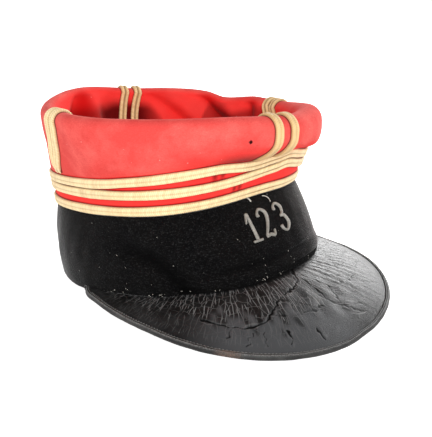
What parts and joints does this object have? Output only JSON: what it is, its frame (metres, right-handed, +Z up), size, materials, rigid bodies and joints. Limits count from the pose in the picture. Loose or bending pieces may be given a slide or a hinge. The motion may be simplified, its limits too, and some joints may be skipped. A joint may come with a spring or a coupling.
{
  "type": "kepi cap",
  "caption": "Soft-crowned kepi with a dark cloth band, a puffed red crown with a sunken top, flat gold braid and a leather peak.",
  "frame": {"origin": "on the surface the cap stands on, under the middle of its length and width", "axes": "+Z up, -Y to the front of the cap and its peak, -X to the wearer's right"},
  "size_m": [0.1932, 0.2503, 0.1279],
  "materials": {
    "red_wool": "felted wool with a fine nap",
    "black_wool": "matt felted wool with lint",
    "gold_braid": "woven soutache, two ridges and a groove",
    "black_leather": "glossy crackled leather",
    "grey_thread": "dull silver embroidery thread"
  },
  "bodies": {
    "root": {"band": "black_wool", "crown": "red_wool", "crown_top": "red_wool", "peak": "black_leather", "peak_binding": "black_leather", "braid_row_lower": "gold_braid", "braid_row_middle": "gold_braid", "braid_row_upper": "gold_braid", "braid_front_1": "gold_braid", "braid_front_2": "gold_braid", "braid_right_1": "gold_braid", "braid_right_2": "gold_braid", "braid_back_1": "gold_braid", "braid_back_2": "gold_braid", "braid_left_1": "gold_braid", "braid_left_2": "gold_braid", "numeral_1": "grey_thread", "numeral_2": "grey_thread", "numeral_3": "grey_thread"}
  },
  "joints": []
}
